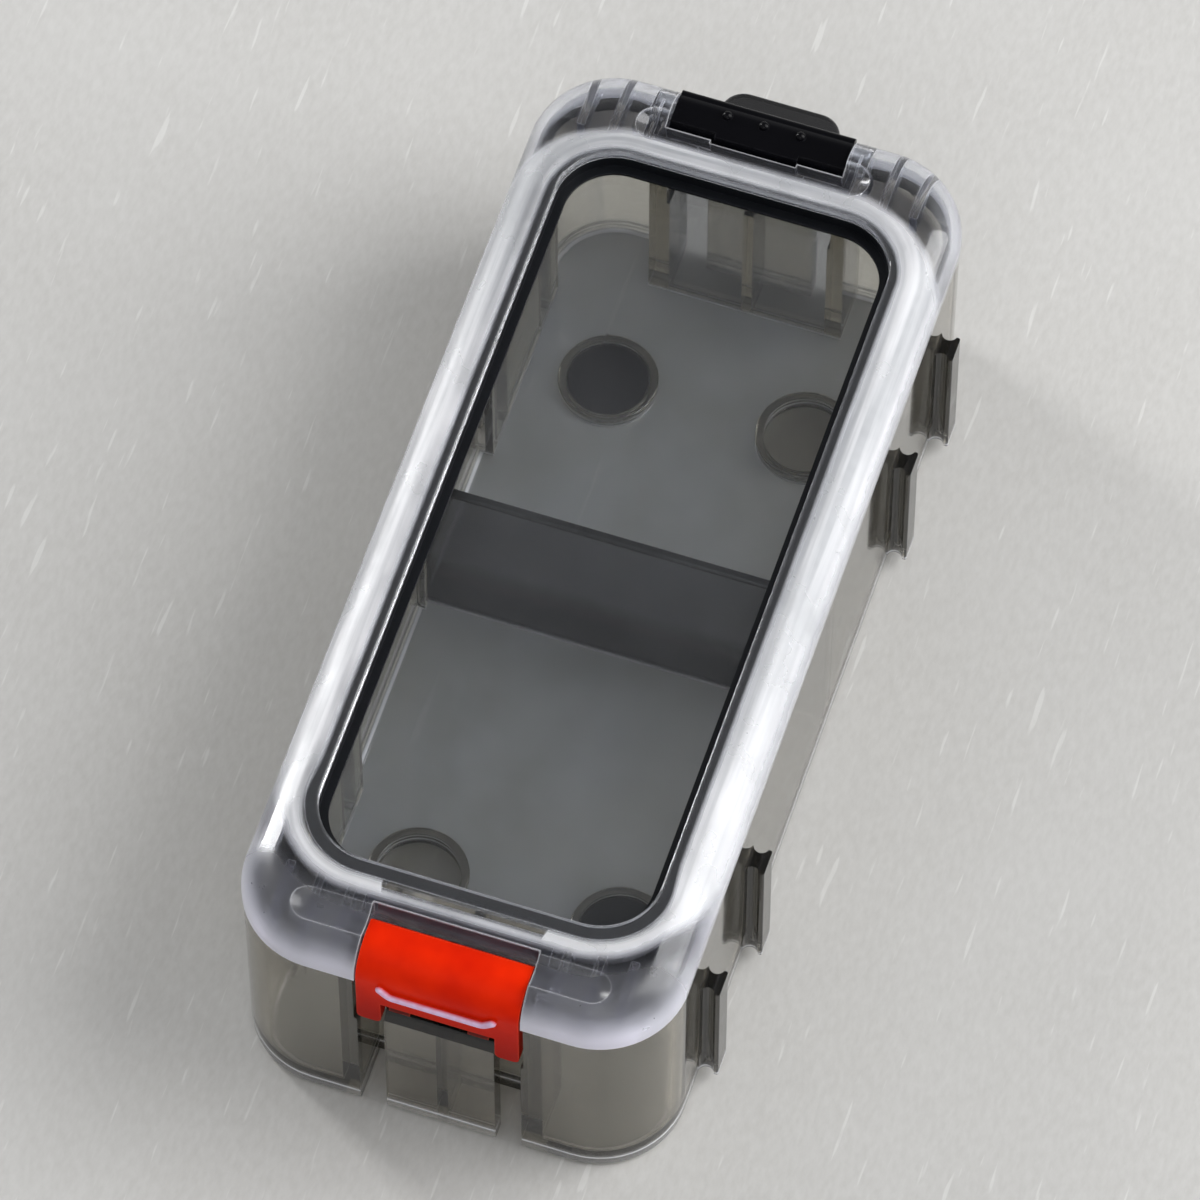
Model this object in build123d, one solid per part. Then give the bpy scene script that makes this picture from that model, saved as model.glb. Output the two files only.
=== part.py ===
from build123d import *
import os

# Small tackle box: smoked tub, clear hinged lid with a window, front latch.
# Frame: +X to the side with the coupling prongs, -Y to the latch, +Z up.
# The origin is the middle of the tub's underside. Sizes in millimetres.

# Whole case
case_width = 55.0
case_length = 127.0
case_corner = 11.0

# Tub
tub_height = 31.6
tub_inset = 0.15
tub_draft = 0.15
tub_wall = 2.1
tub_floor = 2.0
tub_foot_round = 0.8
tub_inner_round = 1.0
tongue_gap = 0.2
tongue_height = 1.9
tongue_bevel = 0.3

# End recesses of the tub, one for the latch and one for the hinge
recess_width = 21.2
recess_depth = 7.3
recess_wall = 2.0
recess_step = 0.4
recess_step_drop = 2.4
plate_width = 13.7
plate_wall = 2.1
plate_top_drop = 7.6
plate_bevel = 1.0
plate_web = 1.35
catch_lip_height = 2.7
catch_lip_wall = 0.9
catch_lip_setback = 1.6
catch_bead = 0.2
catch_bead_drop = 0.4

# Side couplings: waisted prongs on the right, undercut slots that take them on the left
coupling_pitch = 74.6
coupling_top_drop = 8.8
coupling_foot = 1.8
prong_reach = 2.4
prong_root_depth = 1.0
prong_width = 3.4
prong_span = 20.4
prong_waist = 0.7
prong_waist_radius = 1.0
prong_waist_place = 0.95
prong_tip_round = 0.25
slot_clearance = 0.35
slot_lip = 1.0
slot_back_wall = 1.3
slot_roof = 3.85

# Floor pockets for magnets
pocket_spread = 25.8
pocket_rear = 39.0
pocket_front = -34.0
magnet_diameter = 10.4
magnet_height = 2.0
magnet_seat = 1.0
magnet_edge_bevel = 0.25
pocket_clearance = 0.1
pocket_rim = 1.0
pocket_rim_height = 1.4
pocket_rim_round = 0.35

# Divider
divider_place = 3.1
divider_wall = 1.2
divider_top_drop = 1.2
divider_clearance = 0.15
divider_top_round = 0.4
guide_rib = 1.0

# Lid frame
skirt_gap = 0.2
lid_wall = 1.2
lid_end_rise = 5.2
lid_rise = 6.5
crown_round = 5.5
ring_width = 2.7
ring_roof = 1.2
scoop_depth = 1.0
scoop_half = 2.4
scoop_setback = 0.4
front_scoop_reach = 17.5
rear_scoop_reach = 12.5
end_rib_wall = 0.9
end_rib_pitch = 3.95
end_rib_count = 3
end_rib_clearance = 0.4
end_rib_start = 0.85
notch_gap = 0.4
notch_side_gap = 0.2

# Window
window_side_border = 6.4
window_end_border = 12.7
window_corner = 7.5
window_depth = 3.5
pane_wall = 1.5
pane_bite = 1.1
gasket_foot = 0.6
gasket_gap = 0.03
gasket_lip = 1.1
gasket_lip_height = 0.45
curb_wall = 1.0
window_edge_round = 0.3

# Pins
pin_diameter = 2.0
pin_running_fit = 0.05
pin_lug_wall = 1.0
pin_lug_length = 2.4
pin_setback = 0.2
pin_end_bevel = 0.2

# Latch
latch_width = 20.2
latch_wall = 1.6
latch_pin_inset = 5.0
latch_pin_drop = 1.9
latch_barrel_wall = 0.75
latch_swing_gap = 0.8
latch_top_overrun = 0.9
latch_middle_drop = 9.4
latch_leg_drop = 14.0
latch_leg_clearance = 0.25
latch_corner = 0.8
latch_round = 4.2
ridge_length = 14.0
ridge_height = 1.0
ridge_proud = 0.8
ridge_drop = 6.0
ridge_tip_rise = 1.2
tab_width = 2.6
tab_wall = 0.8
tab_setback = 0.45
tab_spread = 9.8
tab_drop = 1.8
tab_barb = 0.2

# Hinge plate and its pin
hinge_width = 22.3
hinge_barrel_wall = 1.45
hinge_pin_inset = 3.0
hinge_pin_drop = 2.45
hinge_shoulder = 2.45
hinge_shoulder_rise = 2.05
hinge_shoulder_round = 0.8
hinge_plate_wall = 1.7
hinge_plate_grip = 1.6
hinge_brow_reach = 1.2
hinge_ledge_width = 10.6
hinge_ledge_reach = 0.5
stud_diameter = 1.3
stud_pitch = 4.7
stud_count = 3
sweep_clearance = 0.4

# Hang loop behind the hinge plate
loop_width = 15.3
loop_reach = 7.0
loop_height = 2.2
loop_drop = 5.2
loop_bar = 2.5
loop_corner = 3.0
loop_eye_corner = 1.75
loop_root_depth = 0.9
loop_edge_round = 0.5

# Levels and planes that follow
outer_half_x = case_width / 2
outer_half_y = case_length / 2
tub_half_x = outer_half_x - tub_inset
tub_half_y = outer_half_y - tub_inset
tub_corner = case_corner - tub_inset
skirt_bottom = tub_height + skirt_gap
lid_end_top = skirt_bottom + lid_end_rise
lid_top = skirt_bottom + lid_rise
pane_top = lid_top - window_depth
pane_bottom = pane_top - pane_wall
gasket_bottom = pane_bottom - gasket_foot
gasket_seat_top = lid_top - ring_roof
gasket_top = gasket_seat_top - gasket_gap
recess_back = tub_half_y - recess_depth
plate_height = tub_height - plate_top_drop
recess_step_height = plate_height - recess_step_drop
coupling_height = tub_height - coupling_top_drop
divider_height = tub_height - tub_floor - divider_top_drop
window_width = case_width - 2 * window_side_border
window_length = case_length - 2 * window_end_border
latch_middle_height = lid_end_top - latch_middle_drop
latch_leg_height = lid_end_top - latch_leg_drop
ridge_level = lid_end_top - ridge_drop
hinge_plate_bottom = plate_height - hinge_plate_grip
loop_level = tub_height - loop_drop
latch_pin_y = -(outer_half_y - latch_pin_inset)
latch_pin_z = lid_end_top - latch_pin_drop
latch_barrel = pin_diameter / 2 + latch_barrel_wall
hinge_pin_y = outer_half_y - hinge_pin_inset
hinge_pin_z = lid_end_top - hinge_pin_drop
hinge_barrel = pin_diameter / 2 + hinge_barrel_wall
ring_half_y = window_length / 2 + ring_width
scoop_radius = (scoop_half ** 2 + scoop_depth ** 2) / (2 * scoop_depth)
far = 2 * case_length


def slab(width, length, corner, low, high):
    """Upright block with a rounded rectangle as its plan, centred on the origin."""
    return Pos(0, 0, low) * extrude(RectangleRounded(width, length, corner), high - low)


def tapered_slab(width, length, corner, grow, low, high):
    """Rounded block that grows by the given run on each side from low to high."""
    lower = Pos(0, 0, low) * RectangleRounded(width, length, corner)
    upper = Pos(0, 0, high) * RectangleRounded(width + 2 * grow, length + 2 * grow, corner + grow)
    return loft([lower, upper])


def block(x_low, x_high, y_low, y_high, z_low, z_high):
    """Plain block between two corners."""
    size = (x_high - x_low, y_high - y_low, z_high - z_low)
    middle = ((x_low + x_high) / 2, (y_low + y_high) / 2, (z_low + z_high) / 2)
    return Pos(*middle) * Box(*size)


def rod(radius, length, y, z):
    """Round bar along X, centred on the case's middle plane."""
    return Pos(0, y, z) * Rot(0, 90, 0) * Cylinder(radius, length)


def turned_end(shape):
    """The same shape at the other end of the case."""
    return Rot(0, 0, 180) * shape


def tub_outside():
    width = 2 * (tub_half_x - tub_draft)
    length = 2 * (tub_half_y - tub_draft)
    body = tapered_slab(width, length, tub_corner - tub_draft, tub_draft, 0, tub_height)
    foot = body.faces().sort_by(Axis.Z)[0].edges()
    return fillet(foot, tub_foot_round)


def tub_inside(clearance=0.0, top=tub_height):
    """The tub's hollow, smaller all round by the clearance."""
    run = tub_draft * (tub_height - tub_floor) / tub_height
    inset = tub_wall + clearance
    width = 2 * (tub_half_x - run - inset)
    length = 2 * (tub_half_y - run - inset)
    hollow = tapered_slab(width, length, tub_corner - run - inset, run, tub_floor, tub_height)
    hollow = fillet(hollow.faces().sort_by(Axis.Z)[0].edges(), tub_inner_round)
    if top > tub_height:
        mouth = slab(width + 2 * run, length + 2 * run, tub_corner - inset, tub_height, top)
        hollow = hollow + mouth
    return hollow


def front_recess_walls():
    """Solid core that the front recess is cut from, with its ribs down the wall."""
    half = recess_width / 2 + recess_wall
    return block(-half, half, -far, -(recess_back - recess_wall), 0, tub_height)


def front_recess_cut():
    """Recess, narrower in its lower part, open at the front, top and bottom."""
    half = recess_width / 2
    upper = block(-half, half, -far, -recess_back, recess_step_height, far)
    lower_half = half - recess_step
    lower = block(-lower_half, lower_half, -far, -recess_back, -far, recess_step_height)
    return upper + lower


def recess_plate():
    """Flush plate in the recess on one central web, with the set-back catch lip."""
    plate_face = tub_half_y - tub_draft
    plate_back = plate_face - plate_wall
    half = plate_width / 2
    plate = block(-half, half, -plate_face, -plate_back, 0, plate_height)
    rim = plate.edges().filter_by(Axis.X).group_by(Axis.Z)[-1].sort_by(Axis.Y)[0]
    web = block(-plate_web / 2, plate_web / 2, -plate_back, -recess_back, 0, plate_height)
    return chamfer(rim, plate_bevel) + web


def catch_lip():
    """Thin lip above the front plate, with the bead that the latch tabs snap under."""
    half = plate_width / 2
    front = -(tub_half_y - tub_draft - catch_lip_setback)
    back = front + catch_lip_wall
    top = plate_height + catch_lip_height
    lip = block(-half, half, front, back, plate_height - plate_bevel, top)
    bead = Pos(0, front, top - catch_bead_drop) * Rot(0, 90, 0) * Cylinder(catch_bead, plate_width)
    return lip + bead


def prong_middle():
    """Distance of one prong's middle from the middle of its pair."""
    return (prong_span - prong_width) / 2


def prong(side):
    """One prong of a pair, waisted between root and tip; side is -1 or 1."""
    y = side * prong_middle()
    half = prong_width / 2
    x_root = tub_half_x - tub_draft - prong_root_depth
    x_tip = tub_half_x + prong_reach
    body = block(x_root, x_tip, y - half, y + half, coupling_foot, coupling_height)
    body = fillet(body.edges().filter_by(Axis.Z).group_by(Axis.X)[-1], prong_tip_round)
    for end in (-1, 1):
        y_round = y + end * (half - prong_waist + prong_waist_radius)
        body -= Pos(tub_half_x + prong_waist_place, y_round, 0) * Cylinder(prong_waist_radius, far)
    return body


def prong_pair(y):
    return Pos(0, y, 0) * (prong(-1) + prong(1))


def slot_depth():
    return prong_reach + slot_clearance


def slot_walls(y):
    """Solid core behind one coupling slot of the left wall."""
    half = prong_span / 2 + slot_clearance + tub_wall
    inner = -(tub_half_x - tub_draft - slot_depth() - slot_back_wall)
    top = coupling_height + slot_clearance + slot_roof
    return block(-far, inner, y - half, y + half, 0, top)


def slot_cut(y):
    """Undercut slots, open below, that a neighbouring case's prongs slide into."""
    face = -(tub_half_x - tub_draft)
    back = face + slot_depth()
    top = coupling_height + slot_clearance
    mouth_half = prong_width / 2 - prong_waist + slot_clearance
    under_half = prong_width / 2 + slot_clearance
    slots = []
    for side in (-1, 1):
        middle = y + side * prong_middle()
        mouth = block(-far, back, middle - mouth_half, middle + mouth_half, -far, top)
        under = block(face + slot_lip, back, middle - under_half, middle + under_half, -far, top)
        slots.append(mouth + under)
    return slots[0] + slots[1]


def magnet_places():
    half = pocket_spread / 2
    return [(-half, pocket_rear), (half, pocket_rear), (-half, pocket_front), (half, pocket_front)]


def pocket_rim_ring(x, y):
    radius = magnet_diameter / 2 + pocket_clearance + pocket_rim
    ring = Pos(x, y, tub_floor + pocket_rim_height / 2) * Cylinder(radius, pocket_rim_height)
    return fillet(ring.edges().group_by(Axis.Z)[-1], pocket_rim_round)


def pocket_cut(x, y):
    radius = magnet_diameter / 2 + pocket_clearance
    return Pos(x, y, magnet_seat + far / 2) * Cylinder(radius, far)


def divider_guides():
    """Two upright ribs on each side wall that hold the divider between them."""
    offset = divider_wall / 2 + divider_clearance
    inner = tub_half_x - tub_draft - tub_wall - guide_rib
    rib = block(inner, far, offset, offset + guide_rib, 0, tub_floor + divider_height)
    pair = rib + mirror(rib, Plane.XZ)
    both = pair + mirror(pair, Plane.YZ)
    return Pos(0, divider_place, 0) * both


def tongue():
    """Thin inner rim inside the lid's skirt, open at the recess and at the hinge end."""
    inset = lid_wall + tongue_gap
    outside = slab(case_width - 2 * inset, case_length - 2 * inset, case_corner - inset,
                   tub_height, tub_height + tongue_height)
    outside = chamfer(outside.faces().sort_by(Axis.Z)[-1].edges(), tongue_bevel)
    rim = outside - tub_inside(top=far)
    half = recess_width / 2 + recess_wall + notch_gap
    rim -= block(-half, half, -far, 0, tub_height, far)
    return rim - block(-far, far, tub_half_y - tub_corner, far, tub_height, far)


def hinge_sweep():
    """Room that the lid's rear skirt needs as it swings about the hinge pin."""
    reach = (hinge_pin_inset ** 2 + (hinge_pin_z - skirt_bottom) ** 2) ** 0.5
    return rod(reach + sweep_clearance, far, hinge_pin_y, hinge_pin_z)


def make_base_tub():
    outside = tub_outside()
    tub = outside - tub_inside(top=far)
    half_pitch = coupling_pitch / 2
    cores = front_recess_walls() + turned_end(front_recess_walls())
    cores += slot_walls(-half_pitch)
    cores += slot_walls(half_pitch)
    cores += divider_guides()
    tub += cores & outside
    tub -= front_recess_cut()
    tub -= turned_end(front_recess_cut())
    tub -= slot_cut(-half_pitch)
    tub -= slot_cut(half_pitch)
    tub += recess_plate() & outside
    tub += turned_end(recess_plate()) & outside
    tub += catch_lip()
    tub += tongue()
    tub += prong_pair(-half_pitch)
    tub += prong_pair(half_pitch)
    for x, y in magnet_places():
        tub += pocket_rim_ring(x, y)
        tub -= pocket_cut(x, y)
    return tub - hinge_sweep()


def make_divider():
    low = tub_floor
    high = tub_floor + divider_height
    y_low = divider_place - divider_wall / 2
    sheet = block(-far, far, y_low, y_low + divider_wall, low, high)
    plate = sheet & tub_inside(divider_clearance)
    top = plate.edges().filter_by(Axis.X).group_by(Axis.Z)[-1]
    return fillet(top, divider_top_round)


def make_magnet(x, y):
    disc = Pos(x, y, magnet_seat + magnet_height / 2) * Cylinder(magnet_diameter / 2, magnet_height)
    return chamfer(disc.edges().filter_by(GeomType.CIRCLE), magnet_edge_bevel)


def end_scoop(y, reach, grow):
    """Shallow trough across one end of the lid, with rounded tips."""
    radius = scoop_radius + grow
    z = lid_top - scoop_depth + scoop_radius
    trough = rod(radius, 2 * reach, y, z)
    return trough + Pos(-reach, y, z) * Sphere(radius) + Pos(reach, y, z) * Sphere(radius)


def lid_body(inset):
    """The lid's crowned body with a trough at each end, smaller all round by the inset."""
    body = slab(case_width - 2 * inset, case_length - 2 * inset, case_corner - inset,
                skirt_bottom, lid_top - inset)
    rim = body.faces().sort_by(Axis.Z)[-1].edges()
    body = fillet(rim, crown_round - inset)
    front_y = -(latch_notch()[1] + scoop_setback + scoop_half)
    body -= end_scoop(front_y, front_scoop_reach, inset)
    rear_y = ring_half_y + scoop_half
    return body - end_scoop(rear_y, rear_scoop_reach, inset)


def window_ring(grow, low, high):
    """Block with the window's plan, grown on each side."""
    return slab(window_width + 2 * grow, window_length + 2 * grow, window_corner + grow, low, high)


def notch_half(width):
    return width / 2 + notch_side_gap


def lid_notch(half, inner_y, rear):
    """Opening in the lid's end for the latch or the hinge barrel."""
    cut = block(-half, half, inner_y, far, 0, far)
    return cut if rear else mirror(cut, Plane.XZ)


def notch_walls(half, inner_y, rear):
    """Walls that close the lid's hollow round a notch."""
    walls = block(-half - lid_wall, half + lid_wall, inner_y - lid_wall, far, skirt_bottom, far)
    return walls if rear else mirror(walls, Plane.XZ)


def pin_lugs(half, y, z):
    length = 2 * (half + pin_lug_length)
    return rod(pin_diameter / 2 + pin_lug_wall, length, y, z)


def pin_bore(half, y, z, fit):
    """Hole for a pin, through both walls of a notch and their lugs."""
    return rod(pin_diameter / 2 + fit, 2 * (half + pin_lug_length), y, z)


def end_ribs():
    """Short stiffening ribs inside each end of the lid, outside the notches."""
    ribs = []
    first = notch_half(hinge_width) + lid_wall + end_rib_start
    low = tub_height + tongue_height + end_rib_clearance
    y_low = ring_half_y
    for count in range(end_rib_count):
        x = first + count * end_rib_pitch
        rib = block(x - end_rib_wall / 2, x + end_rib_wall / 2, y_low, far, low, far)
        pair = rib + mirror(rib, Plane.YZ)
        ribs.append(pair + mirror(pair, Plane.XZ))
    return ribs[0].fuse(*ribs[1:])


def latch_notch():
    half = notch_half(latch_width)
    inner_y = -latch_pin_y - latch_barrel - latch_swing_gap
    return half, inner_y, False


def hinge_notch():
    half = notch_half(hinge_width)
    inner_y = hinge_pin_y - hinge_barrel - hinge_brow_reach - notch_gap
    return half, inner_y, True


def hinge_ledge_pocket():
    """Wider middle of the hinge notch, where the barrel's ledge stands forward."""
    return notch_half(hinge_ledge_width), hinge_notch()[1] - hinge_ledge_reach, True


def make_lid_frame():
    outside = lid_body(0)
    frame = outside - lid_body(lid_wall)
    frame += window_ring(ring_width, gasket_bottom, lid_top) & outside
    frame -= window_ring(ring_width - curb_wall, 0, gasket_seat_top)
    frame -= window_ring(0, 0, far)
    inner = notch_walls(*latch_notch()) + notch_walls(*hinge_notch()) + end_ribs()
    inner += notch_walls(*hinge_ledge_pocket())
    inner += pin_lugs(latch_notch()[0], latch_pin_y, latch_pin_z)
    inner += pin_lugs(hinge_notch()[0], hinge_pin_y, hinge_pin_z)
    frame += inner & outside
    frame -= lid_notch(*latch_notch())
    frame -= lid_notch(*hinge_notch())
    frame -= lid_notch(*hinge_ledge_pocket())
    frame -= pin_bore(latch_notch()[0], latch_pin_y, latch_pin_z, 0)
    frame -= pin_bore(hinge_notch()[0], hinge_pin_y, hinge_pin_z, pin_running_fit)
    opening = frame.faces().sort_by(Axis.Z)[-1].inner_wires()[0].edges()
    return fillet(opening, window_edge_round)


def make_window_gasket():
    """Rubber channel that lines the window opening and grips the pane's edge."""
    outer = window_ring(ring_width - curb_wall - gasket_gap, gasket_bottom, gasket_top)
    band = outer - window_ring(0, 0, far)
    lip = window_ring(0, pane_top, pane_top + gasket_lip_height)
    lip -= window_ring(-gasket_lip, 0, far)
    return band + lip - window_ring(pane_bite, pane_bottom, pane_top)


def make_window_pane():
    return window_ring(pane_bite, pane_bottom, pane_top)


def latch_section():
    """Side view of the latch: straight front, rounded edge, flat top over the pin."""
    face = -outer_half_y
    crown_z = lid_end_top
    start_z = crown_z - latch_round
    turn_y = face + latch_round
    end_y = latch_pin_y + latch_top_overrun
    outline = Polyline([(face, latch_leg_height), (face, start_z)])
    outline += RadiusArc((face, start_z), (turn_y, crown_z), latch_round)
    outline += Polyline([(turn_y, crown_z), (end_y, crown_z), (end_y, crown_z - latch_wall),
                         (turn_y, crown_z - latch_wall)])
    inner = latch_round - latch_wall
    outline += RadiusArc((turn_y, crown_z - latch_wall), (face + latch_wall, start_z), -inner)
    outline += Polyline([(face + latch_wall, start_z), (face + latch_wall, latch_leg_height),
                         (face, latch_leg_height)])
    return make_face(Plane.YZ * outline)


def finger_ridge():
    """Low rounded bar across the latch with both tips turned up."""
    half = ridge_length / 2
    y = -outer_half_y
    path = FilletPolyline([(-half, y, ridge_level + ridge_tip_rise), (-half + ridge_tip_rise, y, ridge_level),
                           (half - ridge_tip_rise, y, ridge_level),
                           (half, y, ridge_level + ridge_tip_rise)], radius=ridge_tip_rise)
    section = Plane(origin=path @ 0, z_dir=path % 0) * Circle(ridge_height / 2)
    bar = sweep(section, path=path)
    ends = Pos(*(path @ 0)) * Sphere(ridge_height / 2) + Pos(*(path @ 1)) * Sphere(ridge_height / 2)
    reach = ridge_proud - ridge_height / 2
    return Pos(0, -reach, 0) * (bar + ends)


def catch_tab(x):
    """Tab below the latch's middle edge, with a small rounded barb on its inner side."""
    low = latch_middle_height - tab_drop
    front = -outer_half_y + tab_setback
    back = front + tab_wall
    tab = block(x - tab_width / 2, x + tab_width / 2, front, back, low, latch_middle_height)
    barb = Pos(x, back, low + tab_barb) * Rot(0, 90, 0) * Cylinder(tab_barb, tab_width)
    return tab + barb


def make_latch():
    plate = extrude(latch_section(), latch_width / 2, both=True)
    barrel = rod(latch_barrel, latch_width, latch_pin_y, latch_pin_z)
    latch = plate + barrel
    leg = plate_width / 2 + latch_leg_clearance
    latch -= block(-leg, leg, -far, 0, 0, latch_middle_height)
    feet = latch.edges().filter_by(Axis.Y).group_by(Axis.Z)[0]
    latch = fillet(feet, latch_corner)
    latch += finger_ridge()
    for x in (-tab_spread / 2, tab_spread / 2):
        latch += catch_tab(x)
    return latch - rod(pin_diameter / 2 + pin_running_fit, far, latch_pin_y, latch_pin_z)


def make_hinge_plate():
    half = hinge_width / 2
    barrel = rod(hinge_barrel, hinge_width, hinge_pin_y, hinge_pin_z)
    shoulder = block(-half, half, hinge_pin_y, hinge_pin_y + hinge_shoulder,
                     hinge_pin_z, hinge_pin_z + hinge_shoulder_rise)
    rear_edge = shoulder.edges().filter_by(Axis.X).group_by(Axis.Z)[-1].sort_by(Axis.Y)[-1]
    barrel += fillet(rear_edge, hinge_shoulder_round)
    face = tub_half_y - tub_inset
    back = face - hinge_plate_wall
    stem_half = recess_width / 2 - latch_leg_clearance
    stem = block(-stem_half, stem_half, back, face, hinge_plate_bottom, hinge_pin_z)
    grip = plate_width / 2
    stem -= block(-grip, grip, -far, far, 0, plate_height)
    brow_radius = hinge_barrel + hinge_brow_reach
    brow = rod(brow_radius, hinge_width, hinge_pin_y, hinge_pin_z)
    brow += rod(brow_radius + hinge_ledge_reach, hinge_ledge_width, hinge_pin_y, hinge_pin_z)
    brow &= block(-half, half, 0, hinge_pin_y, hinge_pin_z, hinge_pin_z + hinge_barrel)
    plate = barrel + stem + brow
    first = -(stud_count - 1) * stud_pitch / 2
    for count in range(stud_count):
        x = first + count * stud_pitch
        plate += Pos(x, hinge_pin_y, hinge_pin_z + hinge_barrel) * Sphere(stud_diameter / 2)
    plate -= rod(pin_diameter / 2, far, hinge_pin_y, hinge_pin_z)
    return plate - hang_loop_outline()


def hang_loop_outline():
    """The hang loop with its hole filled: a flat tab rounded at its two outer corners."""
    half = loop_width / 2
    root = tub_half_y - tub_inset - loop_root_depth
    tip = tub_half_y - tub_inset + loop_reach
    low = loop_level - loop_height / 2
    tab = block(-half, half, root, tip, low, low + loop_height)
    return fillet(tab.edges().filter_by(Axis.Z).group_by(Axis.Y)[-1], loop_corner)


def make_hang_loop():
    face = tub_half_y - tub_inset
    half = loop_width / 2 - loop_bar
    hole = block(-half, half, face, face + loop_reach - loop_bar, 0, far)
    hole = fillet(hole.edges().filter_by(Axis.Z).group_by(Axis.Y)[-1], loop_eye_corner)
    loop = hang_loop_outline() - hole
    rim = loop.faces().sort_by(Axis.Z)[-1].edges().filter_by(
        lambda edge: edge.center().Y > face + loop_bar)
    return fillet(rim, loop_edge_round)


def make_pin(half, y, z):
    length = 2 * (half + pin_lug_length - pin_setback)
    pin = rod(pin_diameter / 2, length, y, z)
    return chamfer(pin.edges().filter_by(GeomType.CIRCLE), pin_end_bevel)


nodes = {
    "base_tub": make_base_tub(),
    "divider": make_divider(),
    "magnet_rear_left": make_magnet(*magnet_places()[0]),
    "magnet_front_right": make_magnet(*magnet_places()[3]),
    "lid_frame": make_lid_frame(),
    "window_gasket": make_window_gasket(),
    "window_pane": make_window_pane(),
    "latch": make_latch(),
    "latch_pin": make_pin(latch_notch()[0], latch_pin_y, latch_pin_z),
    "hinge_plate": make_hinge_plate(),
    "hinge_pin": make_pin(hinge_notch()[0], hinge_pin_y, hinge_pin_z),
    "hang_loop": make_hang_loop(),
}

os.makedirs("parts", exist_ok=True)
for name, shape in nodes.items():
    export_step(shape, f"parts/{name}.step")
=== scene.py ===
import math

import bpy
from mathutils import Matrix, Vector

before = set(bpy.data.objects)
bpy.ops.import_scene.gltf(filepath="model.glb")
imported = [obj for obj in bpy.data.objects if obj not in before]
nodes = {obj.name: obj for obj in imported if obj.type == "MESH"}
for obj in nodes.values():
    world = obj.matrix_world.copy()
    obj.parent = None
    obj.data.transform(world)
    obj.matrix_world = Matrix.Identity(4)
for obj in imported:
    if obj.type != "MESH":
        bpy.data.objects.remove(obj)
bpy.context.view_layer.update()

# Camera: the photograph's angle on the case, with a long lens
camera_azimuth = 18.43
camera_elevation = 61.08
camera_distance = 1.259
camera_focal_px = 10400.0
camera_clip_start = 0.1
picture_px = 1200.0
camera_aim = Vector((0.0, 0.0, 0.020))
camera_aim_px = (607.7, 604.6)
sensor_width = 36.0

# Studio light: a pale room, darker overhead to the rear, and three soft lamps:
# each lamp's place, its width and height, and its power
room_colour = (0.97, 0.98, 1.0, 1)
room_level = 0.54
room_dark_level = 0.24
room_dark_centre = (-0.151, 0.456, 0.876)
room_dark_start = 0.70
room_dark_full = 0.93
lamp_aim = (0, 0, 0.02)
lamps = {
    "lamp_right": ((0.77, 0.25, 0.53), (0.70, 1.2), 13.0),
    "lamp_front": ((0.15, -0.75, 0.75), (0.6, 0.4), 1.2),
    "lamp_left": ((-0.80, 0.35, 0.30), (0.15, 0.7), 5.0),
}

# The case stands this far off the table top, so that light passes out of its clear floor
floor_gap = 0.00015
floor_half = 1.5

# All places below are in metres, in the CAD's frame.
# Lid: the raised ring's outer edge, the latch notch, and the frost on the skirt
ring_half_x = 0.0238
ring_half_y = 0.0535
ring_corner = 0.0102
notch_half = 0.0103
skirt_frost_low = 0.0338
skirt_frost_high = 0.0373

# Lid: the band of painted silver reflection lies between these distances from the ring's outer
# edge; the trough and front lobes outside it get painted shade
crown_inner = (-0.0017, -0.0010)
crown_outer = (0.0030, 0.0044)
trough_outer = (0.0035, 0.0055)
lobe_start = (0.0020, 0.0040)
skirt_start = (0.0005, 0.0025)

# Lid: where its front and rear ends begin, and how far the painted silver reflection band moves
# there
front_end_y = (-0.0490, -0.0400)
rear_end_y = (0.0440, 0.0530)
crown_in_at_notch = 0.0012
crown_in_at_front = 0.0009
crown_out_at_rear = 0.0006
crown_narrower_at_front = 0.0022
crown_narrower_at_rear = 0.0031

# Lid: how matt each zone is, and how the skirt's frost thins out over the sides and to the rear
crown_frost = 0.78
lobe_frost = 0.10
edge_frost = 0.70
lobe_matt = 0.65
side_frost_x = (0.0235, 0.0265)
side_frost = (1.0, 0.55)
rear_frost_y = (0.0, 0.050)
rear_frost = (0.84, 0.35)
cloud_frost = (0.60, 1.22)

# Tub: the painted highlight along the inner floor, the painted highlight line above it, and the
# painted light on the foot of the outside
painted_floor_light_low = (0.0015, 0.0019)
painted_floor_light_high = (0.0022, 0.0030)
floor_line_low = (0.00203, 0.00208)
floor_line_high = (0.0022, 0.0024)
foot_low = (0.0003, 0.0007)
foot_high = (0.0014, 0.0019)
foot_outside_x = (0.0240, 0.0244)
foot_outside_y = (0.0590, 0.0594)
foot_share = 0.5

# Tub: the rear inner wall, which gets painted shade, lies between these Y, and its corners begin
# at this half width
rear_wall_near = (0.0535, 0.0538)
rear_wall_far = (0.0600, 0.0603)
rear_wall_side = (0.0170, 0.0240)
rear_wall_low = (0.0030, 0.0040)

# Tub: the coupling prongs stand out beyond this plane and look denser than the walls
prong_root = 0.02745
prong_full = 0.0278

# Tub: the catch behind the latch's lower edge gets painted shade for the latch's shadow
catch_low = 0.0236
catch_plane = -0.0580
catch_half = 0.0069

# Divider: painted highlight line at the foot, dark lower part, black top edge
divider_foot = (0.0024, 0.0030)
divider_dark = (0.0085, 0.0150)
divider_edge = (0.0298, 0.0300)

# Latch: painted shade towards the legs and on the tabs, and a painted highlight on the finger
# ridge that stands out in front
latch_shade = (0.0245, 0.0330)
tab_top = 0.0276
ridge_front = -0.0641
ridge_root = -0.0637

plastic_ior = 1.49


def new_material(name):
    """Empty node material; returns the material and its tree."""
    made = bpy.data.materials.new(name)
    made.use_nodes = True
    made.node_tree.nodes.clear()
    return made, made.node_tree


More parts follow.
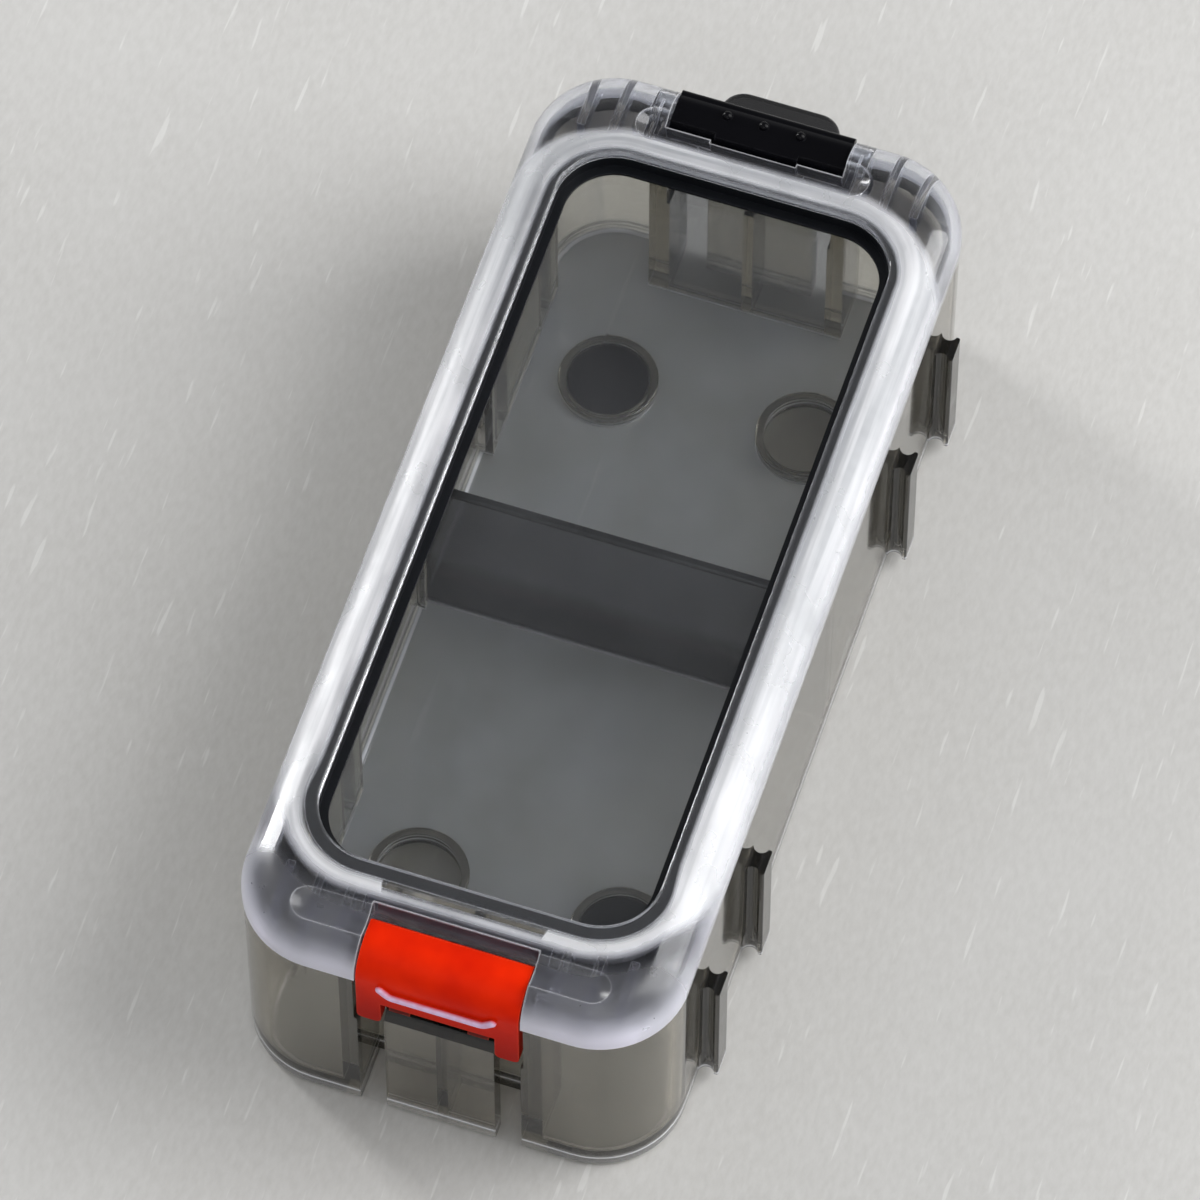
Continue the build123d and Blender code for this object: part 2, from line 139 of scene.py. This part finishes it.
def principled(tree, **values):
    """Principled shader joined to an output; values are set on its own sockets."""
    shader = tree.nodes.new("ShaderNodeBsdfPrincipled")
    for key, value in values.items():
        shader.inputs[key.replace("_", " ")].default_value = value
    output = tree.nodes.new("ShaderNodeOutputMaterial")
    tree.links.new(shader.outputs["BSDF"], output.inputs["Surface"])
    return shader


def absorb(tree, colour, density):
    """Colour that deepens with the thickness of the plastic."""
    volume = tree.nodes.new("ShaderNodeVolumeAbsorption")
    volume.inputs["Color"].default_value = colour
    volume.inputs["Density"].default_value = density
    output = next(node for node in tree.nodes if node.bl_idname == "ShaderNodeOutputMaterial")
    tree.links.new(volume.outputs["Volume"], output.inputs["Volume"])


def math_node(tree, operation, first, second=None):
    """One step of arithmetic on sockets or numbers."""
    made = tree.nodes.new("ShaderNodeMath")
    made.operation = operation
    for socket, value in zip(made.inputs, (first, second)):
        if isinstance(value, (int, float)):
            socket.default_value = value
        elif value is not None:
            tree.links.new(value, socket)
    return made.outputs["Value"]


def add(tree, first, second):
    return math_node(tree, "ADD", first, second)


def subtract(tree, first, second):
    return math_node(tree, "SUBTRACT", first, second)


def multiply(tree, first, *others):
    """Product of shares or numbers, taken from left to right."""
    for other in others:
        first = math_node(tree, "MULTIPLY", first, other)
    return first


def greater(tree, first, second):
    return math_node(tree, "MAXIMUM", first, second)


def axis(tree, name):
    """One coordinate of the object's own space, in metres."""
    place = tree.nodes.new("ShaderNodeTexCoord")
    split = tree.nodes.new("ShaderNodeSeparateXYZ")
    tree.links.new(place.outputs["Object"], split.inputs["Vector"])
    return split.outputs[name]


def half_axis(tree, name):
    """Distance from the object's middle plane along one axis."""
    return math_node(tree, "ABSOLUTE", axis(tree, name))


def spread(tree, source, low, high, from_low=0.0, from_high=1.0):
    """Maps a value from one range on to another, held within it."""
    made = tree.nodes.new("ShaderNodeMapRange")
    made.inputs["From Min"].default_value = from_low
    made.inputs["From Max"].default_value = from_high
    made.inputs["To Min"].default_value = low
    made.inputs["To Max"].default_value = high
    tree.links.new(source, made.inputs["Value"])
    return made.outputs["Result"]


def rise(tree, source, low, high):
    """Share that climbs from 0 to 1 as the value goes from low to high."""
    return spread(tree, source, 0.0, 1.0, low, high)


def fall(tree, source, low, high):
    """Share that drops from 1 to 0 as the value goes from low to high."""
    return spread(tree, source, 1.0, 0.0, low, high)


def between(tree, source, low, high):
    """Share that climbs over the range low and drops over the range high."""
    return multiply(tree, rise(tree, source, *low), fall(tree, source, *high))


def noise(tree, scale, detail=3.0, roughness=0.55, stretch=(1, 1, 1), turn=0.0):
    """Noise in the object's own coordinates, with an optional stretch and turn about Z."""
    place = tree.nodes.new("ShaderNodeTexCoord")
    mapping = tree.nodes.new("ShaderNodeMapping")
    mapping.inputs["Scale"].default_value = stretch
    mapping.inputs["Rotation"].default_value = (0, 0, turn)
    made = tree.nodes.new("ShaderNodeTexNoise")
    made.inputs["Scale"].default_value = scale
    made.inputs["Detail"].default_value = detail
    made.inputs["Roughness"].default_value = roughness
    tree.links.new(place.outputs["Object"], mapping.inputs["Vector"])
    tree.links.new(mapping.outputs["Vector"], made.inputs["Vector"])
    return made.outputs["Fac"]


def patches(tree, scale, stretch=(1, 1, 1)):
    """Soft patches, 0 to 1, for uneven tone."""
    return rise(tree, noise(tree, scale, 3.0, 0.55, stretch), 0.3, 0.7)


def scratches(tree, scale, turn, threshold, run=0.04):
    """Thin scratches, mostly in one direction; a smaller run makes them longer."""
    lines = noise(tree, scale, 2.0, 0.5, (1.0, run, 1.0), turn)
    return rise(tree, lines, threshold, threshold + 0.05)


def blend_colour(tree, share, first, second):
    """Mixes two colours by a share; each may be a colour or another mix's output."""
    made = tree.nodes.new("ShaderNodeMix")
    made.data_type = "RGBA"
    tree.links.new(share, made.inputs["Factor"])
    for key, value in (("A", first), ("B", second)):
        socket = next(s for s in made.inputs if s.name == key and s.type == "RGBA")
        if isinstance(value, tuple):
            socket.default_value = value
        else:
            tree.links.new(value, socket)
    return next(s for s in made.outputs if s.type == "RGBA")


def darkened(colour, share):
    """The colour times a share, still opaque."""
    return tuple(share * value for value in colour[:3]) + (1,)


def edge_share(tree, radius, gain):
    """0 on flat faces and towards 1 on the solid's edges."""
    rounded = tree.nodes.new("ShaderNodeBevel")
    rounded.samples = 4
    rounded.inputs["Radius"].default_value = radius
    plain = tree.nodes.new("ShaderNodeNewGeometry")
    compare = tree.nodes.new("ShaderNodeVectorMath")
    compare.operation = "DOT_PRODUCT"
    tree.links.new(rounded.outputs["Normal"], compare.inputs[0])
    tree.links.new(plain.outputs["Normal"], compare.inputs[1])
    return rise(tree, subtract(tree, 1.0, compare.outputs["Value"]), 0.0, 1.0 / gain)


def bump(tree, shader, height, strength, distance):
    made = tree.nodes.new("ShaderNodeBump")
    made.inputs["Strength"].default_value = strength
    made.inputs["Distance"].default_value = distance
    tree.links.new(height, made.inputs["Height"])
    tree.links.new(made.outputs["Normal"], shader.inputs["Normal"])


def join(tree, shader, **values):
    """Links each value to the shader's socket of that name."""
    for key, value in values.items():
        tree.links.new(value, shader.inputs[key.replace("_", " ")])


def ring_distance(tree):
    """Distance outwards from the raised ring's outer edge, seen from above; negative inside."""
    squares = []
    for name, half in (("X", ring_half_x), ("Y", ring_half_y)):
        beyond = greater(tree, subtract(tree, half_axis(tree, name), half - ring_corner), 0.0)
        squares.append(math_node(tree, "POWER", beyond, 2.0))
    return subtract(tree, math_node(tree, "SQRT", add(tree, *squares)), ring_corner)


def contour_noise(tree, distance, scale, detail):
    """Noise in long streaks that follow the ring's outline."""
    run = 0.03
    place = tree.nodes.new("ShaderNodeCombineXYZ")
    tree.links.new(distance, place.inputs["X"])
    tree.links.new(multiply(tree, axis(tree, "Y"), run), place.inputs["Y"])
    tree.links.new(multiply(tree, axis(tree, "X"), run), place.inputs["Z"])
    made = tree.nodes.new("ShaderNodeTexNoise")
    made.inputs["Scale"].default_value = scale
    made.inputs["Detail"].default_value = detail
    tree.links.new(place.outputs["Vector"], made.inputs["Vector"])
    return made.outputs["Fac"]


def lid_zones(tree, distance):
    """Shares of the lid's crown (painted silver reflection), the trough outside it and the front
    lobes (painted shade).
    """
    place_y = axis(tree, "Y")
    front = fall(tree, place_y, -ring_half_y, -ring_half_y + 0.002)
    notch = fall(tree, half_axis(tree, "X"), notch_half - 0.0004, notch_half)
    front_end = fall(tree, place_y, *front_end_y)
    rear_end = rise(tree, place_y, *rear_end_y)
    inner = subtract(tree, distance, multiply(tree, front, notch, crown_in_at_notch))
    inner = subtract(tree, inner, multiply(tree, front_end, crown_in_at_front))
    inner = add(tree, inner, multiply(tree, rear_end, crown_out_at_rear))
    outer = add(tree, distance, multiply(tree, front_end, crown_narrower_at_front))
    outer = add(tree, outer, multiply(tree, rear_end, crown_narrower_at_rear))
    crown = multiply(tree, rise(tree, inner, *crown_inner), fall(tree, outer, *crown_outer))
    beside = multiply(tree, rise(tree, outer, *crown_outer), fall(tree, distance, *trough_outer))
    trough = multiply(tree, greater(tree, front_end, rear_end), beside)
    lobe = multiply(tree, front, rise(tree, distance, *lobe_start))
    return crown, trough, lobe


def lid_frost(tree, distance, crown, lobe, edges):
    """How matt the lid is: the crown, the skirt towards the front, and every edge."""
    skirt = fall(tree, axis(tree, "Z"), skirt_frost_low, skirt_frost_high)
    skirt = multiply(tree, skirt, spread(tree, half_axis(tree, "X"), *side_frost, *side_frost_x))
    skirt = multiply(tree, skirt, spread(tree, axis(tree, "Y"), *rear_frost, *rear_frost_y))
    skirt = multiply(tree, skirt, rise(tree, distance, *skirt_start))
    frost = greater(tree, multiply(tree, crown, crown_frost), skirt)
    frost = greater(tree, frost, multiply(tree, lobe, lobe_frost))
    cloud = spread(tree, noise(tree, 90, stretch=(1.0, 1.0, 0.4)), *cloud_frost, 0.3, 0.7)
    return greater(tree, multiply(tree, frost, cloud), multiply(tree, edges, edge_frost))


def make_lid_plastic():
    """Clear lid: painted silver reflection on the crown round the ring, painted shade in the
    trough and front lobes, frosted skirt and front end, white edges that are partly frost and
    partly painted highlight.
    """
    # The dark colour is painted shade for the trough and front lobes; the silver colours are a
    # painted reflection on the crown
    clear, dark = (0.93, 0.95, 0.99, 1), (0.22, 0.23, 0.27, 1)
    painted_reflection_dark, painted_reflection_light = (0.32, 0.33, 0.35, 1), (0.80, 0.80, 0.82, 1)
    lavender, edge_frost_and_painted_highlight = (0.80, 0.785, 0.90, 1), (0.92, 0.92, 0.95, 1)
    made, tree = new_material("lid_clear_plastic")
    shader = principled(tree, IOR=plastic_ior)
    distance = ring_distance(tree)
    edges = edge_share(tree, radius=0.0004, gain=4.0)
    crown, trough, lobe = lid_zones(tree, distance)
    frost = lid_frost(tree, distance, crown, lobe, edges)
    streak = contour_noise(tree, distance, scale=1100, detail=4.0)
    broad = contour_noise(tree, distance, scale=300, detail=2.0)
    streaks = add(tree, multiply(tree, streak, 0.45), multiply(tree, broad, 0.55))
    # Painted reflection: silvery streaks across the crown
    painted_silver_reflection = blend_colour(tree, rise(tree, streaks, 0.40, 0.58), painted_reflection_dark, painted_reflection_light)
    painted_light_and_frost = blend_colour(tree, crown, lavender, painted_silver_reflection)
    # Painted shade: the lower front lobes and the trough outside the crown are darkened
    shade = multiply(tree, lobe, rise(tree, axis(tree, "Z"), skirt_frost_low, skirt_frost_high))
    shade = greater(tree, multiply(tree, shade, 0.9), trough)
    colour = blend_colour(tree, frost, blend_colour(tree, shade, clear, dark), painted_light_and_frost)
    matt = greater(tree, frost, multiply(tree, lobe, lobe_matt))
    uneven = spread(tree, noise(tree, 400), -0.03, 0.05)
    # Edges are whitened: partly frost, partly a painted highlight
    join(tree, shader,
         Base_Color=blend_colour(tree, edges, colour, edge_frost_and_painted_highlight),
         Transmission_Weight=spread(tree, frost, 0.985, 0.15),
         Roughness=add(tree, spread(tree, matt, 0.05, 0.40), uneven))
    bump(tree, shader, streak, strength=0.05, distance=0.0001)
    return made


def make_pane_plastic():
    """Clear flat window with a few faint hair scratches."""
    made, tree = new_material("pane_clear_plastic")
    shader = principled(tree, Base_Color=(0.93, 0.96, 1.0, 1), IOR=plastic_ior)
    hair = greater(tree, scratches(tree, scale=700, turn=0.5, threshold=0.70),
                   scratches(tree, scale=500, turn=-0.9, threshold=0.72))
    smear = noise(tree, 60, 4.0)
    join(tree, shader,
         Roughness=add(tree, spread(tree, smear, 0.01, 0.05), multiply(tree, hair, 0.10)),
         Transmission_Weight=spread(tree, smear, 0.998, 0.986, 0.3, 0.7))
    bump(tree, shader, hair, strength=0.05, distance=0.00005)
    return made


def rub_marks(tree):
    """Marks where the see-through plastic was rubbed."""
    return scratches(tree, scale=500, turn=1.2, threshold=0.68)


def flow_marks(tree, shader, rough_low, rough_high, worn):
    """Uneven gloss and faint waves of moulded see-through plastic, rougher where it is worn."""
    uneven = spread(tree, noise(tree, 160), rough_low, rough_high)
    join(tree, shader, Roughness=add(tree, uneven, multiply(tree, worn, 0.10)))
    bump(tree, shader, noise(tree, 500, 2.0), strength=0.03, distance=0.0001)


def make_smoked_plastic(name, surface, deep, density, rough_low, rough_high):
    """Smoked see-through plastic: darker where it is thick, with painted shade on the catch and
    the rear inner wall, painted highlights along the inner floor and the outer foot, flow marks
    and rub marks.
    """
    painted_floor_highlight, painted_line_highlight = (0.76, 0.78, 0.83, 1), (0.92, 0.92, 0.96, 1)
    rear_shade = (0.56, 0.57, 0.60, 1)
    made, tree = new_material(name)
    shader = principled(tree, IOR=plastic_ior)
    absorb(tree, deep, density)
    width, place_y, height = half_axis(tree, "X"), axis(tree, "Y"), axis(tree, "Z")
    colour = blend_colour(tree, patches(tree, 70), darkened(surface, 0.88), surface)
    prongs = rise(tree, axis(tree, "X"), prong_root, prong_full)
    colour = blend_colour(tree, prongs, colour, darkened(surface, 0.13))
    # Painted shade on the catch under the latch
    catch_painted_shade = multiply(tree, rise(tree, height, catch_low, catch_low + 0.0004),
                     fall(tree, place_y, catch_plane - 0.0002, catch_plane),
                     fall(tree, width, catch_half, catch_half + 0.0003))
    colour = blend_colour(tree, catch_painted_shade, colour, darkened(surface, 0.12))
    # Painted shade on the rear inner wall
    rear_wall_painted_shade = multiply(tree, between(tree, place_y, rear_wall_near, rear_wall_far),
                    fall(tree, width, *rear_wall_side), rise(tree, height, *rear_wall_low))
    colour = blend_colour(tree, rear_wall_painted_shade, colour, rear_shade)
    # Painted highlight along the inner floor, and painted light on the outer foot
    painted_light_and_frost = multiply(tree, between(tree, height, painted_floor_light_low, painted_floor_light_high),
                    spread(tree, noise(tree, 55), 0.6, 1.0, 0.2, 0.8))
    outside = greater(tree, rise(tree, width, *foot_outside_x),
                      rise(tree, half_axis(tree, "Y"), *foot_outside_y))
    painted_foot_light = multiply(tree, between(tree, height, foot_low, foot_high), outside, foot_share)
    painted_light_and_frost = greater(tree, painted_light_and_frost, painted_foot_light)
    # Painted highlight line above the inner floor
    line = between(tree, height, floor_line_low, floor_line_high)
    colour = blend_colour(tree, painted_light_and_frost, colour, painted_floor_highlight)
    join(tree, shader,
         Base_Color=blend_colour(tree, line, colour, painted_line_highlight),
         Transmission_Weight=multiply(tree, spread(tree, painted_light_and_frost, 0.975, 0.58),
                                      spread(tree, line, 1.0, 0.45)))
    worn = greater(tree, edge_share(tree, radius=0.0003, gain=4.0), rub_marks(tree))
    flow_marks(tree, shader, rough_low, rough_high, worn)
    return made


def make_divider_plastic(name):
    """Dark smoked divider: black top edge, dark lower part, a painted highlight line at the
    floor.
    """
    face_dark, face_light = (0.42, 0.42, 0.46, 1), (0.56, 0.56, 0.61, 1)
    black_part, painted_foot_highlight = (0.012, 0.013, 0.017, 1), (0.80, 0.78, 0.84, 1)
    made, tree = new_material(name)
    shader = principled(tree, IOR=plastic_ior)
    absorb(tree, (0.35, 0.35, 0.36, 1), 2400)
    height = axis(tree, "Z")
    dark = greater(tree, fall(tree, height, *divider_dark), rise(tree, height, *divider_edge))
    # Painted highlight line at the foot
    painted_foot_light = fall(tree, height, *divider_foot)
    colour = blend_colour(tree, patches(tree, 70, (1.0, 1.0, 0.3)), face_dark, face_light)
    colour = blend_colour(tree, dark, colour, black_part)
    join(tree, shader,
         Base_Color=blend_colour(tree, painted_foot_light, colour, painted_foot_highlight),
         Transmission_Weight=multiply(tree, spread(tree, dark, 0.86, 0.985),
                                      spread(tree, painted_foot_light, 1.0, 0.50)))
    flow_marks(tree, shader, 0.05, 0.12, rub_marks(tree))
    return made


def make_solid_plastic(name, colour, worn, rough_low, rough_high, scale, gloss):
    """Opaque moulded plastic: uneven gloss, fine grain and paler rubbed edges."""
    made, tree = new_material(name)
    shader = principled(tree, Specular_IOR_Level=gloss)
    body = blend_colour(tree, patches(tree, scale), darkened(colour, 0.78), colour)
    edges = multiply(tree, edge_share(tree, radius=0.0003, gain=3.0),
                     spread(tree, noise(tree, scale * 5, 4.0), 0.0, 0.6, 0.35, 0.65))
    grain = noise(tree, scale * 12)
    join(tree, shader,
         Base_Color=blend_colour(tree, edges, body, worn),
         Roughness=add(tree, spread(tree, grain, rough_low, rough_high),
                       multiply(tree, edges, 0.15)))
    bump(tree, shader, grain, strength=0.12, distance=0.00006)
    return made


def make_latch_plastic(name):
    """Red-orange latch: deep colour, painted shade towards the legs and on the tabs, fine grain,
    a painted highlight on the finger ridge.
    """
    red_dark, red_light = (0.62, 0.012, 0.001, 1), (0.82, 0.023, 0.001, 1)
    red_painted_shade, red_tab_painted_shade = (0.36, 0.006, 0.001, 1), (0.10, 0.003, 0.001, 1)
    red_edge, painted_ridge_highlight = (0.95, 0.12, 0.04, 1), (0.72, 0.55, 0.78, 1)
    made, tree = new_material(name)
    shader = principled(tree, IOR=1.35, Specular_IOR_Level=0.08)
    height = axis(tree, "Z")
    body = blend_colour(tree, patches(tree, 130), red_dark, red_light)
    # Painted shade towards the legs
    body = blend_colour(tree, fall(tree, height, *latch_shade), body, red_painted_shade)
    # Painted shade on the tabs under the latch's edge
    tab_painted_shade = multiply(tree, fall(tree, half_axis(tree, "X"), catch_half, catch_half + 0.0002),
                   fall(tree, height, tab_top - 0.0002, tab_top))
    body = blend_colour(tree, tab_painted_shade, body, red_tab_painted_shade)
    edges = multiply(tree, edge_share(tree, radius=0.0003, gain=3.0), 0.35)
    body = blend_colour(tree, edges, body, red_edge)
    # Painted highlight on the front of the finger ridge
    ridge_painted_highlight = multiply(tree, fall(tree, axis(tree, "Y"), ridge_front, ridge_root),
                      spread(tree, noise(tree, 700), 0.7, 1.0, 0.3, 0.6))
    grain = noise(tree, 1500)
    join(tree, shader,
         Base_Color=blend_colour(tree, ridge_painted_highlight, body, painted_ridge_highlight),
         Roughness=spread(tree, grain, 0.32, 0.46))
    bump(tree, shader, grain, strength=0.10, distance=0.00006)
    return made


def make_pin_steel(name):
    """Drawn wire: rings of fine marks round the pin."""
    made, tree = new_material(name)
    shader = principled(tree, Metallic=1.0)
    marks = noise(tree, 2500, roughness=0.6, stretch=(1.0, 0.05, 0.05))
    join(tree, shader,
         Base_Color=blend_colour(tree, marks, (0.42, 0.43, 0.44, 1), (0.66, 0.67, 0.68, 1)),
         Roughness=spread(tree, marks, 0.2, 0.4))
    bump(tree, shader, marks, strength=0.1, distance=0.00005)
    return made


def make_table_top(name):
    """Pale table top with fine scratches."""
    patch_dark, patch_light = (0.475, 0.465, 0.445, 1), (0.545, 0.54, 0.525, 1)
    grain_light, line_light = (0.62, 0.615, 0.60, 1), (0.76, 0.76, 0.74, 1)
    made, tree = new_material(name)
    shader = principled(tree, Metallic=0.08, Specular_IOR_Level=0.35)
    grain = noise(tree, 1300, roughness=0.6, stretch=(1.0, 0.45, 1.0), turn=0.6)
    lines = greater(tree, scratches(tree, scale=900, turn=0.7, threshold=0.68, run=0.10),
                    scratches(tree, scale=1000, turn=-0.5, threshold=0.70, run=0.10))
    colour = blend_colour(tree, noise(tree, 25, 4.0), patch_dark, patch_light)
    colour = blend_colour(tree, spread(tree, grain, 0.0, 0.45, 0.3, 0.7), colour, grain_light)
    join(tree, shader,
         Base_Color=blend_colour(tree, multiply(tree, lines, 0.35), colour, line_light),
         Roughness=spread(tree, grain, 0.52, 0.70))
    bump(tree, shader, grain, strength=0.15, distance=0.0001)
    return made


def dress_nodes():
    """Gives each CAD node its material."""
    magnet = make_solid_plastic("magnet_coat", colour=(0.006, 0.006, 0.008, 1),
                                worn=(0.10, 0.10, 0.11, 1),
                                rough_low=0.30, rough_high=0.45, scale=250, gloss=0.1)
    steel = make_pin_steel("pin_steel")
    materials = {
        "base_tub": make_smoked_plastic("smoked_plastic", surface=(0.965, 0.94, 0.885, 1),
                                        deep=(0.60, 0.57, 0.48, 1), density=330,
                                        rough_low=0.03, rough_high=0.08),
        "hang_loop": make_smoked_plastic("dark_smoked_plastic", surface=(0.62, 0.62, 0.63, 1),
                                         deep=(0.35, 0.35, 0.36, 1), density=2200,
                                         rough_low=0.06, rough_high=0.14),
        "divider": make_divider_plastic("divider_smoked_plastic"),
        "lid_frame": make_lid_plastic(),
        "window_pane": make_pane_plastic(),
        "window_gasket": make_solid_plastic("gasket_rubber", colour=(0.004, 0.005, 0.007, 1),
                                            worn=(0.03, 0.03, 0.04, 1), rough_low=0.30,
                                            rough_high=0.45, scale=200, gloss=0.3),
        "latch": make_latch_plastic("latch_red"),
        "hinge_plate": make_solid_plastic("black_plastic", colour=(0.002, 0.002, 0.003, 1),
                                          worn=(0.03, 0.03, 0.035, 1), rough_low=0.18,
                                          rough_high=0.30, scale=200, gloss=0.12),
        "magnet_rear_left": magnet,
        "magnet_front_right": magnet,
        "latch_pin": steel,
        "hinge_pin": steel,
    }
    for node_name, made in materials.items():
        slots = nodes[node_name].data.materials
        slots.clear()
        slots.append(made)


def put_in_scene(name, data):
    made = bpy.data.objects.new(name, data)
    bpy.context.scene.collection.objects.link(made)
    return made


def make_floor():
    mesh = bpy.data.meshes.new("floor")
    corners = [(x * floor_half, y * floor_half, -floor_gap)
               for x, y in ((-1, -1), (1, -1), (1, 1), (-1, 1))]
    mesh.from_pydata(corners, [], [(0, 1, 2, 3)])
    mesh.materials.append(make_table_top("floor_plain"))
    put_in_scene("floor", mesh)


def make_lamp(name, place, size, power):
    lamp = bpy.data.lights.new(name, "AREA")
    lamp.shape = "RECTANGLE"
    lamp.size, lamp.size_y = size
    lamp.energy = power
    made = put_in_scene(name, lamp)
    made.location = place
    made.rotation_mode = "QUATERNION"
    made.rotation_quaternion = (Vector(lamp_aim) - Vector(place)).to_track_quat("-Z", "Y")


def make_world():
    """Pale room that is darker in one part of its ceiling."""
    world = bpy.data.worlds.new("studio")
    world.use_nodes = True
    tree = world.node_tree
    place = tree.nodes.new("ShaderNodeTexCoord")
    toward = tree.nodes.new("ShaderNodeVectorMath")
    toward.operation = "DOT_PRODUCT"
    toward.inputs[1].default_value = room_dark_centre
    tree.links.new(place.outputs["Generated"], toward.inputs[0])
    background = tree.nodes["Background"]
    background.inputs["Color"].default_value = room_colour
    level = spread(tree, toward.outputs["Value"], room_level, room_dark_level,
                   room_dark_start, room_dark_full)
    tree.links.new(level, background.inputs["Strength"])
    bpy.context.scene.world = world


def make_camera():
    azimuth = math.radians(camera_azimuth)
    elevation = math.radians(camera_elevation)
    back = Vector((math.sin(azimuth) * math.cos(elevation),
                   -math.cos(azimuth) * math.cos(elevation), math.sin(elevation)))
    right = Vector((math.cos(azimuth), math.sin(azimuth), 0))
    up = back.cross(right)
    scale = camera_distance / camera_focal_px
    across = (camera_aim_px[0] - picture_px / 2) * scale
    down = (camera_aim_px[1] - picture_px / 2) * scale
    data = bpy.data.cameras.new("camera")
    data.lens = camera_focal_px / picture_px * sensor_width
    data.sensor_width = sensor_width
    data.clip_start = camera_clip_start
    camera = put_in_scene("camera", data)
    camera.location = camera_aim + back * camera_distance - right * across + up * down
    camera.rotation_mode = "QUATERNION"
    camera.rotation_quaternion = Matrix((right, up, back)).transposed().to_quaternion()
    bpy.context.scene.camera = camera


dress_nodes()
make_floor()
make_world()
for lamp_name, (lamp_place, lamp_size, lamp_power) in lamps.items():
    make_lamp(lamp_name, lamp_place, lamp_size, lamp_power)
make_camera()
bpy.context.scene.view_settings.view_transform = "Standard"
